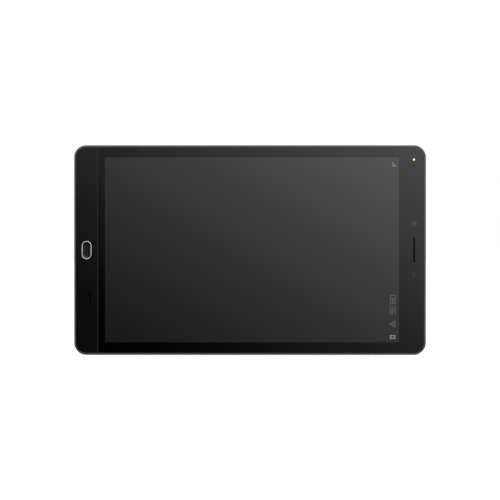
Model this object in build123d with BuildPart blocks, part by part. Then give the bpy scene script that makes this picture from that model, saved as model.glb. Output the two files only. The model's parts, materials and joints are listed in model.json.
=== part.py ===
from build123d import *
import os

# Rugged survey tablet (data collector) with an 8 inch screen, in millimetres.
# It stands on its lower long edge: X runs along its length, Z up its width and Y through
# its thickness, with the screen facing -Y. The origin is the middle of the lower edge.

# ---------------------------------------------------------------- driving dimensions
length = 205.0
width = 122.0
thickness = 10.0
corner_radius = 7.0
mid_z = width / 2
half_length = length / 2

# Levels through the thickness, from the front to the back
rim_front = -thickness / 2
glass_front = -4.85
glass_back = -3.95
ledge = -3.8
lcd_back = -2.8
web_front = -1.9
web_back = -1.1
shelf = 3.3
cover_inner = 3.45
rib_root = 4.2
rear_skin = 4.5
strip_top = thickness / 2

# Housing
rim_width = 1.1
wall = 2.2
edge_round = 0.9
seam = 0.1
cap_edge_x = -88.45
band_edge_x = 87.15

# Screen
screen_x = (-84.35, 86.75)
screen_z = (7.3, 114.9)
lcd_frame = 2.2

# Rear ribs
groove_pitch = 1.415
groove_width = 0.7
groove_count = 122
groove_z = (2.6, 119.4)

# Raised strip on the rear band
strip_x = (89.35, 99.45)
strip_z = (2.2, 119.4)
strip_mid_x = (strip_x[0] + strip_x[1]) / 2
strip_bevel = 0.4

# Camera island
island_z = 10.05
groove_size = (15.6, 10.0)
bezel_size = (14.5, 8.3)
window_size = (12.2, 7.0)
moat_floor = 4.0
seal_top = 4.45
lens_z = 7.2
lens_radius = 2.3
module_half = 3.5
flash_z = 13.2
flash_radius = 1.35

# Dock contacts
dock_size = (7.8, 17.2)
dock_corner = 1.3
dock_face = 4.3
contact_radius = 0.6
contact_pitch = 1.9
contact_tip = 4.65

# Home button
home_x = -95.15
home_ring_size = (10.7, 5.8)
home_ring_wall = 0.5
home_gap = 0.08
home_travel = 0.28

# Front sensors, along the right-hand border of the glass
front_x = 95.45
earpiece_size = (14.3, 1.2)
camera_z = 76.4
camera_radius = 1.6
proximity_z = (45.9, 48.2)
led_z = 113.65
light_x = 95.3
light_z = 110.3

# Side keys, on the upper edge
key_y = 0.4
key_height = 2.4
power_x = 72.0
power_length = 12.0
rocker_x = 18.0
rocker_length = 24.0
key_gap = 0.2
flange_z = (118.7, 119.4)
flange_extra = 0.7

# Card tray, on the upper edge
tray_x = 52.0
tray_y = 1.8
tray_head = (16.8, 1.8)
tray_plate = (13.2, 0.8)
tray_depth = 23.5

# Connector and its door, in the end face beside the home button
port_y = 0.8
port_size = (9.0, 3.2)
door_size = (15.0, 5.4)
door_thickness = 1.0
hinge_y = 2.8
hinge_inset = 0.6
knuckle_radius = 0.6
pin_radius = 0.25
pin_gap = 0.06

# Loudspeaker holes in the end face
speaker_hole_z = 101.0
speaker_hole_radius = 0.6
speaker_hole_pitch = 1.9
speaker_hole_count = 8
mic_z = 41.5

# Circuit boards
board_back = 1.0
board_front = 0.2
flex_thickness = 0.2

# Screws
screw_radius = 0.7
screw_head_radius = 1.3
cap_screw_x = -95.2
cap_screw_z = (5.6, 116.4)
cap_head_radius = 1.0
cap_head_y = 3.8
plug_size = (3.8, 2.2)
board_screw_points = [(37, 16), (81, 14), (37, 92), (81, 92)]
usb_screw_points = [(-97.4, 37), (-97.4, 85)]

os.makedirs("parts", exist_ok=True)


# ---------------------------------------------------------------- helpers
# A plane parallel to the screen at height y, whose normal points out of the screen
def level(y):
    return Plane.XZ.offset(-y)


# A rounded plate between two corners, from height y0 in front to y1 behind
def plate(xs, zs, ys, radius=0, mode=Mode.ADD):
    with BuildSketch(level(ys[1])) as outline:
        with Locations(((xs[0] + xs[1]) / 2, (zs[0] + zs[1]) / 2)):
            if radius:
                RectangleRounded(xs[1] - xs[0], zs[1] - zs[0], radius)
            else:
                Rectangle(xs[1] - xs[0], zs[1] - zs[0])
    extrude(outline.sketch, amount=ys[1] - ys[0], mode=mode)


# A plate with full-round ends, long up Z, with its size as (length, breadth)
def pill(x, z, size, ys, mode=Mode.ADD):
    with BuildSketch(level(ys[1])) as outline:
        with Locations((x, z)):
            SlotOverall(size[0], size[1], rotation=90)
    extrude(outline.sketch, amount=ys[1] - ys[0], mode=mode)


# Discs of one radius at a list of (x, z) points
def discs(points, radius, ys, mode=Mode.ADD):
    with BuildSketch(level(ys[1])) as outline:
        with Locations(*points):
            Circle(radius)
    extrude(outline.sketch, amount=ys[1] - ys[0], mode=mode)


# The tablet's outline, set in from its edge, and cut to the stretch between two x values
def outline_slab(inset, xs, ys, mode=Mode.ADD):
    with BuildSketch(level(ys[1])) as outline:
        with Locations((0, mid_z)):
            RectangleRounded(length - 2 * inset, width - 2 * inset, corner_radius - inset)
        with Locations(((xs[0] + xs[1]) / 2, mid_z)):
            Rectangle(xs[1] - xs[0], width, mode=Mode.INTERSECT)
    extrude(outline.sketch, amount=ys[1] - ys[0], mode=mode)


# A key bar lying along X in the upper wall, with the flange that holds it in
def key_bar(x, bar_length, gap, mode=Mode.ADD):
    bar_size = (bar_length + 2 * gap, key_height + 2 * gap)
    with BuildSketch(Plane.XY.offset(flange_z[1])) as bar:
        with Locations((x, key_y)):
            SlotOverall(bar_size[0], bar_size[1])
    extrude(bar.sketch, amount=width - flange_z[1], mode=mode)


def key_flange(x, bar_length):
    with BuildSketch(Plane.XY.offset(flange_z[0])) as flange:
        with Locations((x, key_y)):
            RectangleRounded(bar_length + 2 * flange_extra, key_height + 0.5, 0.5)
    extrude(flange.sketch, amount=flange_z[1] - flange_z[0])


# Screws with round heads, pointing towards the front from height head_y
def screws(points, head_y, shank_length, head_height):
    discs(points, screw_head_radius, (head_y, head_y + head_height))
    discs(points, screw_radius, (head_y - shank_length, head_y))
    with BuildSketch(level(head_y + head_height)) as slots:
        with Locations(*points):
            RegularPolygon(0.55, 6)
    extrude(slots.sketch, amount=head_height * 0.6, mode=Mode.SUBTRACT)


lcd_x = (screen_x[0] - lcd_frame, screen_x[1] + lcd_frame)
lcd_z = (screen_z[0] - lcd_frame, screen_z[1] + lcd_frame)
well_x = (lcd_x[0] - 0.3, lcd_x[1] + 2.05)
well_z = (lcd_z[0] - 0.3, lcd_z[1] + 0.3)
sensor_x = (91.4, 99.2)
sensor_z = (43.5, 116.6)
sensor_floor = -2.6
receiver_x = (93.4, 98.8)
receiver_z = (mid_z - 7.6, mid_z + 7.6)
home_pocket_x = (home_x - 3.6, home_x + 3.4)
home_pocket_z = (mid_z - 6.2, mid_z + 6.2)
dock_x = (strip_mid_x - dock_size[0] / 2, strip_mid_x + dock_size[0] / 2)
dock_z = (mid_z - 0.4 - dock_size[1] / 2, mid_z - 0.4 + dock_size[1] / 2)
flex_slot_x = (89.9, 90.9)
flex_slot_z = (23.5, 44.5)
cap_screws_at = [(cap_screw_x, z) for z in cap_screw_z]
speaker_mid = (speaker_hole_count - 1) / 2
speaker_holes = [speaker_hole_z + (i - speaker_mid) * speaker_hole_pitch for i in range(speaker_hole_count)]
door_outer_x = -half_length
door_inner_x = door_outer_x + door_thickness
hinge_x = door_outer_x + hinge_inset
door_y = (hinge_y + knuckle_radius - door_size[1], hinge_y + knuckle_radius)
door_z = (mid_z - door_size[0] / 2, mid_z + door_size[0] / 2)

# ---------------------------------------------------------------- housing
with BuildPart() as mid_frame:
    outline_slab(0, (-half_length, half_length), (rim_front, rear_skin))
    rims = mid_frame.edges().filter_by_position(Axis.Y, rim_front, rim_front)
    rims += mid_frame.edges().filter_by_position(Axis.Y, rear_skin, rear_skin)
    fillet(rims, edge_round)
    # Recess for the glass and the chin panel, then the wells for the screen and the sensors
    outline_slab(rim_width, (-half_length, half_length), (rim_front, ledge), mode=Mode.SUBTRACT)
    plate(well_x, well_z, (ledge, web_front), 1.0, mode=Mode.SUBTRACT)
    plate(sensor_x, sensor_z, (ledge, sensor_floor), 0.8, mode=Mode.SUBTRACT)
    plate(receiver_x, receiver_z, (sensor_floor, -1.3), 0.5, mode=Mode.SUBTRACT)
    discs([(front_x, camera_z)], 3.2, (sensor_floor, web_back), mode=Mode.SUBTRACT)
    plate(home_pocket_x, home_pocket_z, (ledge, web_front), 1.0, mode=Mode.SUBTRACT)
    # Rear bay, with the recess that the covers lie in
    outline_slab(wall, (-half_length, half_length), (web_back, shelf), mode=Mode.SUBTRACT)
    outline_slab(rim_width, (-half_length, half_length), (shelf, rear_skin), mode=Mode.SUBTRACT)
    discs(cap_screws_at, 2.6, (web_back, shelf))
    discs(cap_screws_at, screw_radius, (web_back, shelf), mode=Mode.SUBTRACT)
    # Posts that carry the boards
    discs(board_screw_points + usb_screw_points, 1.7, (web_back, board_front))
    discs(board_screw_points + usb_screw_points, screw_radius, (web_back, board_front), mode=Mode.SUBTRACT)
    # Slot for the screen's ribbon
    plate(flex_slot_x, flex_slot_z, (web_front, web_back), mode=Mode.SUBTRACT)
    # Openings in the upper wall for the keys and the card tray
    key_bar(power_x, power_length, key_gap, mode=Mode.SUBTRACT)
    key_bar(rocker_x, rocker_length, key_gap, mode=Mode.SUBTRACT)
    with BuildSketch(Plane.XY.offset(width)) as tray_slot:
        with Locations((tray_x, tray_y)):
            SlotOverall(tray_head[0] + 0.2, tray_head[1] + 0.2)
    extrude(amount=-wall, mode=Mode.SUBTRACT)
    # Connector opening, with the recess and the pin holes of its door
    with BuildSketch(Plane.YZ.offset(-half_length)) as port_opening:
        with Locations((port_y, mid_z)):
            SlotOverall(port_size[0] + 0.4, port_size[1] + 0.4, rotation=90)
    extrude(amount=wall, mode=Mode.SUBTRACT)
    with BuildSketch(Plane.YZ.offset(-half_length)) as door_recess:
        with Locations(((door_y[0] + door_y[1]) / 2, mid_z)):
            Rectangle(door_size[1] + 0.3, door_size[0] + 0.3)
    extrude(amount=door_thickness + 0.3, mode=Mode.SUBTRACT)
    with BuildSketch(Plane.XY.offset(door_z[0] - 1.2)) as pin_holes:
        with Locations((hinge_x, hinge_y)):
            Circle(pin_radius)
    extrude(amount=door_size[0] + 2.4, mode=Mode.SUBTRACT)
    # Sound holes for the loudspeaker and the microphone
    with BuildSketch(Plane.YZ.offset(-half_length)) as sound_holes:
        with Locations(*[(port_y, z) for z in speaker_holes]):
            Circle(speaker_hole_radius)
        with Locations((port_y, mic_z)):
            Circle(0.45)
    extrude(amount=wall, mode=Mode.SUBTRACT)

with BuildPart() as chin_panel:
    outline_slab(rim_width, (-half_length, cap_edge_x - seam), (glass_front, ledge))
    pill(home_x, mid_z, home_ring_size, (glass_front, ledge), mode=Mode.SUBTRACT)

with BuildPart() as end_cap:
    outline_slab(rim_width, (-half_length, cap_edge_x - seam), (shelf + 0.15, rear_skin - 0.05))
    with BuildSketch(level(rear_skin)) as plug_recesses:
        with Locations(*cap_screws_at):
            SlotOverall(plug_size[0], plug_size[1])
    extrude(amount=0.4, mode=Mode.SUBTRACT)
    discs(cap_screws_at, cap_head_radius + 0.1, (cap_head_y, rear_skin), mode=Mode.SUBTRACT)
    discs(cap_screws_at, screw_radius, (shelf, rear_skin), mode=Mode.SUBTRACT)
    # Ribs that stiffen the cap inside, clear of the screws
    for rib_z in (26, 96):
        plate((-99.6, -89.6), (rib_z, rib_z + 1), (3.05, shelf + 0.15))

with BuildPart() as rear_cover:
    outline_slab(rim_width, (cap_edge_x, band_edge_x), (cover_inner, rear_skin))
    with BuildSketch(level(rear_skin)) as grooves:
        with Locations(((cap_edge_x + band_edge_x) / 2, (groove_z[0] + groove_z[1]) / 2)):
            with GridLocations(groove_pitch, 0, groove_count, 1):
                SlotOverall(groove_z[1] - groove_z[0], groove_width, rotation=90)
    extrude(amount=rear_skin - rib_root, mode=Mode.SUBTRACT)

with BuildPart() as rear_band:
    outline_slab(rim_width, (band_edge_x + seam, half_length), (cover_inner, rear_skin))
    # Raised strip, round about the camera and with one cut corner at its far end
    with BuildSketch(level(strip_top)) as strip:
        with BuildLine():
            round_z = strip_z[0] + (strip_x[1] - strip_x[0]) / 2
            corner = 5.0
            foot = ThreePointArc(
                (strip_x[0], round_z), (strip_mid_x, strip_z[0]), (strip_x[1], round_z)
            )
            right = Line(foot @ 1, (strip_x[1], strip_z[1] - corner))
            turn = RadiusArc(right @ 1, (strip_x[1] - corner, strip_z[1]), -corner)
            top = Line(turn @ 1, (strip_x[0] + 1.9, strip_z[1]))
            cut = Line(top @ 1, (strip_x[0], strip_z[1] - 3.5))
            Line(cut @ 1, foot @ 0)
        make_face()
    extrude(amount=strip_top - rear_skin)
    strip_edge = rear_band.edges().filter_by_position(Axis.Y, strip_top, strip_top)
    chamfer(strip_edge, strip_bevel)
    # Round moat about the camera, and the way through for the camera's own window
    pill(strip_mid_x, island_z, groove_size, (moat_floor, strip_top), mode=Mode.SUBTRACT)
    pill(strip_mid_x, island_z, bezel_size, (cover_inner, strip_top), mode=Mode.SUBTRACT)
    # Opening for the dock contacts
    plate(dock_x, dock_z, (cover_inner, strip_top), dock_corner, mode=Mode.SUBTRACT)

with BuildPart() as cover_gasket:
    outline_slab(rim_width + 0.1, (-half_length, half_length), (shelf, cover_inner))
    outline_slab(wall - 0.1, (-half_length, half_length), (shelf, cover_inner), mode=Mode.SUBTRACT)

with BuildPart() as cap_plugs:
    with BuildSketch(level(rear_skin - 0.1)) as plugs:
        with Locations(*cap_screws_at):
            SlotOverall(plug_size[0] - 0.1, plug_size[1] - 0.1)
    extrude(amount=0.25)

# ---------------------------------------------------------------- screen
with BuildPart() as cover_glass:
    outline_slab(rim_width + 0.05, (cap_edge_x, half_length), (glass_front, glass_back))
    pill(front_x, mid_z, earpiece_size, (glass_front, glass_back), mode=Mode.SUBTRACT)

with BuildPart() as display_gasket:
    outline_slab(rim_width + 0.4, (cap_edge_x + 0.3, half_length), (glass_back, ledge))
    plate(well_x, well_z, (glass_back, ledge), 1.0, mode=Mode.SUBTRACT)
    plate(sensor_x, sensor_z, (glass_back, ledge), 0.8, mode=Mode.SUBTRACT)

with BuildPart() as touch_sensor:
    plate(lcd_x, lcd_z, (glass_back, ledge))

with BuildPart() as lcd_panel:
    plate(lcd_x, lcd_z, (ledge, lcd_back))

with BuildPart() as backlight_unit:
    plate(lcd_x, lcd_z, (lcd_back, web_front), 0.4)

with BuildPart() as display_flex:
    ribbon_z = (25.0, 43.0)
    tail_y = lcd_back - 0.4
    with BuildSketch(Plane.XY.offset(ribbon_z[0])) as ribbon:
        with BuildLine() as route:
            bend_x = (flex_slot_x[0] + flex_slot_x[1]) / 2
            end_y = board_back + 0.5
            points = [(lcd_x[1] + 0.11, tail_y), (bend_x, tail_y), (bend_x, end_y), (80.6, end_y)]
            FilletPolyline(*points, radius=0.3)
        trace(line_width=flex_thickness)
    extrude(amount=ribbon_z[1] - ribbon_z[0])

# ---------------------------------------------------------------- home button
home_inner = (home_ring_size[0] - 2 * home_ring_wall, home_ring_size[1] - 2 * home_ring_wall)
home_cap = (home_inner[0] - 2 * home_gap, home_inner[1] - 2 * home_gap)
home_flange = (home_cap[0] + 1.1, home_cap[1] + 1.1)
home_back = -3.3

with BuildPart() as home_ring:
    pill(home_x, mid_z, home_ring_size, (glass_front - 0.1, ledge))
    pill(home_x, mid_z, home_inner, (glass_front - 0.1, ledge), mode=Mode.SUBTRACT)
    lip = home_ring.edges().filter_by_position(Axis.Y, glass_front - 0.1, glass_front - 0.1)
    fillet(lip, 0.15)

with BuildPart() as home_button:
    pill(home_x, mid_z, home_cap, (glass_front, ledge + 0.05))
    pill(home_x, mid_z, home_flange, (ledge + 0.05, home_back))

with BuildPart() as fingerprint_sensor:
    pill(home_x, mid_z, (8.2, 3.2), (home_back, home_back + 0.4))

with BuildPart() as home_switch:
    plate((home_x - 2.4, home_x + 2.4), (mid_z - 4, mid_z + 4), (web_front - 0.25, web_front), 0.5)
    discs([(home_x, mid_z)], 1.7, (home_back + 0.4 + home_travel + 0.02, web_front - 0.25))

# ---------------------------------------------------------------- front sensors
with BuildPart() as sensor_flex:
    floor = (sensor_floor - flex_thickness, sensor_floor)
    plate((91.5, 92.35), (44.4, 115.4), floor)
    plate((91.5, 97.4), (45.2, 49.0), floor)
    plate((91.5, 97.4), (108.9, 115.4), floor)

with BuildPart() as status_led:
    plate((front_x - 0.8, front_x + 0.8), (led_z - 0.8, led_z + 0.8), (-3.4, floor[0]))
    discs([(front_x, led_z)], 0.65, (glass_back, -3.4))

with BuildPart() as light_sensor:
    plate((light_x - 1, light_x + 1), (light_z - 1, light_z + 1), (-3.6, floor[0]))

with BuildPart() as proximity_sensor:
    mid = sum(proximity_z) / 2
    plate((front_x - 1.1, front_x + 1.1), (mid - 1.9, mid + 1.9), (-3.7, floor[0]), 0.3)
    discs([(front_x, z) for z in proximity_z], 0.5, (-3.9, -3.7))

with BuildPart() as front_camera:
    discs([(front_x, camera_z)], 3.0, (-3.2, web_back - 0.1))
    discs([(front_x, camera_z)], camera_radius, (glass_back, -3.2))

with BuildPart() as earpiece_mesh:
    pill(front_x, mid_z, (earpiece_size[0] + 0.8, earpiece_size[1] + 0.8), (glass_back, ledge))

with BuildPart() as earpiece_receiver:
    plate((receiver_x[0] + 0.1, receiver_x[1] - 0.1), (receiver_z[0] + 0.1, receiver_z[1] - 0.1),
          (ledge, -1.3), 0.4)

# ---------------------------------------------------------------- rear camera
with BuildPart() as camera_bezel:
    pill(strip_mid_x, island_z, bezel_size, (cover_inner, strip_top))
    pill(strip_mid_x, island_z, window_size, (cover_inner, strip_top), mode=Mode.SUBTRACT)
    outer = camera_bezel.edges().filter_by_position(Axis.Y, strip_top, strip_top)
    fillet(outer, 0.25)

with BuildPart() as island_seal:
    pill(strip_mid_x, island_z, (groove_size[0] - 0.1, groove_size[1] - 0.3), (moat_floor, seal_top))
    pill(strip_mid_x, island_z, bezel_size, (moat_floor, seal_top), mode=Mode.SUBTRACT)

with BuildPart() as camera_window:
    pill(strip_mid_x, island_z, window_size, (4.25, 4.8))

with BuildPart() as camera_module:
    module_x = (strip_mid_x - module_half, strip_mid_x + module_half)
    module_z = (lens_z - module_half, lens_z + module_half)
    plate(module_x, module_z, (web_back, 2.2), 0.4)
    discs([(strip_mid_x, lens_z)], 3.0, (2.2, 3.4))

with BuildPart() as camera_lens:
    discs([(strip_mid_x, lens_z)], lens_radius, (3.4, 4.1))
    fillet(camera_lens.edges().filter_by_position(Axis.Y, 4.1, 4.1), 0.45)

with BuildPart() as flash_lens:
    discs([(strip_mid_x, flash_z)], flash_radius, (3.4, 4.25))
    plate((strip_mid_x - 1.6, strip_mid_x + 1.6), (flash_z - 1.5, flash_z + 1.7), (2.6, 3.4), 0.3)

# ---------------------------------------------------------------- dock contacts
contact_z = (dock_z[0] + dock_z[1]) / 2
outer_rows = [contact_z + (i - 3) * contact_pitch for i in range(7)]
middle_rows = [contact_z + (i - 2.5) * contact_pitch for i in range(6)]
contact_points = [(strip_mid_x + side * contact_pitch, z) for side in (-1, 1) for z in outer_rows]
contact_points += [(strip_mid_x, z) for z in middle_rows]

with BuildPart() as contact_block:
    plate((dock_x[0] + 0.1, dock_x[1] - 0.1), (dock_z[0] + 0.1, dock_z[1] - 0.1),
          (2.0, dock_face), dock_corner - 0.1)
    discs(contact_points, contact_radius, (2.0, dock_face), mode=Mode.SUBTRACT)

with BuildPart() as dock_contacts:
    discs(contact_points, contact_radius, (1.7, contact_tip))
    tips = dock_contacts.edges().filter_by_position(Axis.Y, contact_tip, contact_tip)
    fillet(tips, 0.3)

with BuildPart() as contact_gasket:
    plate((dock_x[0] - 0.9, dock_x[1] + 0.9), (dock_z[0] - 0.9, dock_z[1] + 0.9), (2.9, cover_inner), 2.0)
    plate((dock_x[0] + 0.1, dock_x[1] - 0.1), (dock_z[0] + 0.1, dock_z[1] - 0.1),
          (2.9, cover_inner), dock_corner - 0.1, mode=Mode.SUBTRACT)

with BuildPart() as dock_flex:
    plate((80.2, dock_x[1] + 0.4), (dock_z[0] + 1, dock_z[1] - 1), (1.5, 1.7))

# ---------------------------------------------------------------- main board
main_x = (34.0, 84.5)
main_z = (10.0, 96.5)
with BuildPart() as main_board:
    plate(main_x, main_z, (board_front, board_back), 1.0)
    plate((58, 84.5), (main_z[1] - 2, 116.8), (board_front, board_back), 1.0)
    discs(board_screw_points, screw_radius, (board_front, board_back), mode=Mode.SUBTRACT)

with BuildPart() as board_screws:
    screws(board_screw_points, board_back, 1.9, 0.6)
    screws(usb_screw_points, board_back, 1.9, 0.6)

can_boxes = [((41, 58), (20, 46)), ((61, 78.5), (20, 46)), ((41, 72), (50, 84))]
with BuildPart() as shield_cans:
    for xs, zs in can_boxes:
        plate(xs, zs, (board_back, 2.5), 0.6)
    for xs, zs in can_boxes:
        plate((xs[0] + 0.2, xs[1] - 0.2), (zs[0] + 0.2, zs[1] - 0.2), (board_back, 2.3), 0.4,
              mode=Mode.SUBTRACT)

with BuildPart() as processor:
    plate((44, 55), (25, 39), (board_back, 2.2))
    plate((64, 75), (26, 40), (board_back, 2.0))
    plate((46, 60), (56, 70), (board_back, 2.2))
    plate((63, 69), (60, 72), (board_back, 1.9))

with BuildPart() as heat_spreader:
    plate((40, 79.5), (19, 86), (2.5, 2.75), 1.5)

with BuildPart() as board_connectors:
    plate((80.2, 83.6), (26, 42), (board_back, 1.4))
    plate((80.2, 83.6), (54, 68), (board_back, 1.5))
    plate((35.2, 38.2), (57.5, 64.5), (board_back, 2.2))
    plate((62, 76), (113.6, 116.2), (board_back, 2.0))

with BuildPart() as link_flex:
    plate((-93.5, -90.2), (8.0, 36.0), (board_back, board_back + flex_thickness))
    plate((-93.5, 38.5), (8.0, 12.5), (board_back, board_back + flex_thickness))

# ---------------------------------------------------------------- battery
battery_x = (-62.0, 30.0)
battery_z = (16.0, 106.0)
with BuildPart() as battery:
    plate(battery_x, battery_z, (web_back, 2.9), 1.5)
    fillet(battery.edges().filter_by_position(Axis.Y, 2.9, 2.9), 0.8)

with BuildPart() as battery_lead:
    plate((battery_x[1], 35.2), (58.5, 63.5), (1.4, 2.0))

# ---------------------------------------------------------------- keys and card tray
with BuildPart() as power_button:
    key_bar(power_x, power_length, 0)
    key_flange(power_x, power_length)
    fillet(power_button.edges().filter_by_position(Axis.Z, width, width), 0.35)

with BuildPart() as volume_rocker:
    key_bar(rocker_x, rocker_length, 0)
    key_flange(rocker_x, rocker_length)
    fillet(volume_rocker.edges().filter_by_position(Axis.Z, width, width), 0.35)
    # Waist that a finger feels between the two ends
    with BuildSketch(Plane.XY.offset(width)) as waist:
        with Locations((rocker_x, key_y)):
            Rectangle(3.0, key_height + 1)
    extrude(amount=-0.25, mode=Mode.SUBTRACT)

with BuildPart() as key_bracket:
    plate((rocker_x - 15, 40.5), (116.4, 117.2), (web_back + 0.2, 2.6))
    plate((power_x - 7.5, power_x + 8.5), (117.0, 117.6), (board_back + 0.4, 2.6))

with BuildPart() as side_key_flex:
    plate((rocker_x - 14, 40.0), (117.2, 117.4), (-0.8, 2.4))
    plate((power_x - 6.5, power_x + 8), (117.6, 117.8), (-0.6, 2.4))
    for dome_x, dome_foot in ((rocker_x - 9, 117.4), (rocker_x + 9, 117.4), (power_x, 117.8)):
        with BuildSketch(Plane.XY.offset(dome_foot)) as dome:
            with Locations((dome_x, key_y)):
                Circle(1.2)
        extrude(amount=118.2 - dome_foot)

with BuildPart() as sim_socket:
    plate((tray_x - 7.4, tray_x + 7.4), (97.4, 119.0), (board_back, 2.7))
    plate((tray_x - 6.8, tray_x + 6.8), (97.8, 119.0), (1.2, 2.5), mode=Mode.SUBTRACT)

with BuildPart() as sim_tray:
    with BuildSketch(Plane.XY.offset(width)) as head:
        with Locations((tray_x, tray_y)):
            SlotOverall(tray_head[0], tray_head[1])
    extrude(amount=-wall)
    plate((tray_x - tray_plate[0] / 2, tray_x + tray_plate[0] / 2), (width - tray_depth, width - wall),
          (tray_y - tray_plate[1] / 2, tray_y + tray_plate[1] / 2), 0)
    # Windows for the two cards, and the hole for the eject pin
    plate((tray_x - 5.2, tray_x + 5.0), (100.4, 108.0), (1.0, 2.6), 0.6, mode=Mode.SUBTRACT)
    plate((tray_x - 5.2, tray_x + 5.0), (109.6, 117.6), (1.0, 2.6), 0.6, mode=Mode.SUBTRACT)
    with BuildSketch(Plane.XY.offset(width)) as eject_hole:
        with Locations((tray_x + 6.6, tray_y)):
            Circle(0.4)
    extrude(amount=-1.5, mode=Mode.SUBTRACT)

# ---------------------------------------------------------------- connector board and door
usb_x = (-99.8, -89.8)
with BuildPart() as usb_board:
    plate(usb_x, (34.0, 88.0), (board_front, board_back), 0.8)
    plate((usb_x[0] - 1, -93.9), (mid_z - 4.8, mid_z + 4.8), (board_front, board_back), mode=Mode.SUBTRACT)
    discs(usb_screw_points, screw_radius, (board_front, board_back), mode=Mode.SUBTRACT)

with BuildPart() as usb_port:
    with BuildSketch(Plane.YZ.offset(-94.0)) as shell:
        with Locations((port_y, mid_z)):
            SlotOverall(port_size[0], port_size[1], rotation=90)
    extrude(amount=-6.8)
    with BuildSketch(Plane.YZ.offset(-half_length)) as mouth:
        with Locations((port_y, mid_z)):
            SlotOverall(port_size[0] - 0.6, port_size[1] - 0.6, rotation=90)
    extrude(amount=7.6, mode=Mode.SUBTRACT)
    with BuildSketch(Plane.YZ.offset(-94.0)) as tongue:
        with Locations((port_y, mid_z)):
            Rectangle(0.7, 6.6)
    extrude(amount=-5.0)

with BuildPart() as microphone:
    plate((-99.6, -96.8), (mic_z - 1.8, mic_z + 1.8), (board_back, 2.0))

with BuildPart() as usb_door:
    with BuildSketch(Plane.YZ.offset(door_inner_x)) as flap:
        with Locations(((door_y[0] + hinge_y) / 2, mid_z)):
            Rectangle(hinge_y - door_y[0], door_size[0])
    extrude(amount=-door_thickness)
    far_corners = usb_door.edges().filter_by(Axis.X).group_by(Axis.Y)[0]
    fillet(far_corners, 1.2)
    with BuildSketch(Plane.XY.offset(door_z[0])) as knuckle:
        with Locations((hinge_x, hinge_y)):
            Circle(knuckle_radius)
    extrude(amount=door_size[0])
    with BuildSketch(Plane.YZ.offset(door_inner_x)) as stopper:
        with Locations((port_y, mid_z)):
            SlotOverall(port_size[0] - 0.6, port_size[1] - 0.6, rotation=90)
    extrude(amount=0.6)
    with BuildSketch(Plane.YZ.offset(door_inner_x + 0.6)) as stopper_hollow:
        with Locations((port_y, mid_z)):
            SlotOverall(port_size[0] - 1.8, port_size[1] - 1.6, rotation=90)
    extrude(amount=-0.5, mode=Mode.SUBTRACT)
    with BuildSketch(Plane.XY.offset(door_z[0])) as pin_way:
        with Locations((hinge_x, hinge_y)):
            Circle(pin_radius + pin_gap)
    extrude(amount=door_size[0], mode=Mode.SUBTRACT)

with BuildPart() as door_pin:
    with BuildSketch(Plane.XY.offset(door_z[0] - 1.2)) as pin_section:
        with Locations((hinge_x, hinge_y)):
            Circle(pin_radius)
    extrude(amount=door_size[0] + 2.4)

# ---------------------------------------------------------------- sound, vibration and aerials
with BuildPart() as loudspeaker:
    plate((-99.4, -90.0), (97.6, 111.0), (web_back, 2.8), 1.0)
    with BuildSketch(Plane.YZ.offset(-99.4)) as spout:
        with Locations((port_y, speaker_hole_z)):
            Rectangle(2.0, 16.0)
        with Locations((port_y, 102.5)):
            Rectangle(2.0, 12.0, mode=Mode.INTERSECT)
    extrude(amount=-0.6)

with BuildPart() as speaker_mesh:
    plate((-half_length + wall, -100.0), (speaker_hole_z - 8.4, speaker_hole_z + 8.4), (-0.6, 2.2))

with BuildPart() as vibration_motor:
    discs([(-94.6, 21.5)], 4.0, (web_back, 0.9))

with BuildPart() as gnss_antenna:
    plate((86.2, 99.2), (84.0, 97.0), (web_back, 2.4))
    plate((87.2, 98.2), (85.0, 96.0), (2.4, 2.5))

with BuildPart() as radio_antenna:
    plate((86.6, 99.4), (100.0, 115.4), (web_back, 2.5), 1.0)
    plate((88.0, 98.6), (101.2, 103.0), (2.5, 2.6))
    plate((96.6, 98.6), (101.2, 113.6), (2.5, 2.6))
    plate((88.0, 98.6), (111.8, 113.6), (2.5, 2.6))

# ---------------------------------------------------------------- screws under the cap's plugs
with BuildPart() as cap_screws:
    discs(cap_screws_at, cap_head_radius, (cap_head_y, cap_head_y + 0.28))
    discs(cap_screws_at, screw_radius, (0.4, cap_head_y))

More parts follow.
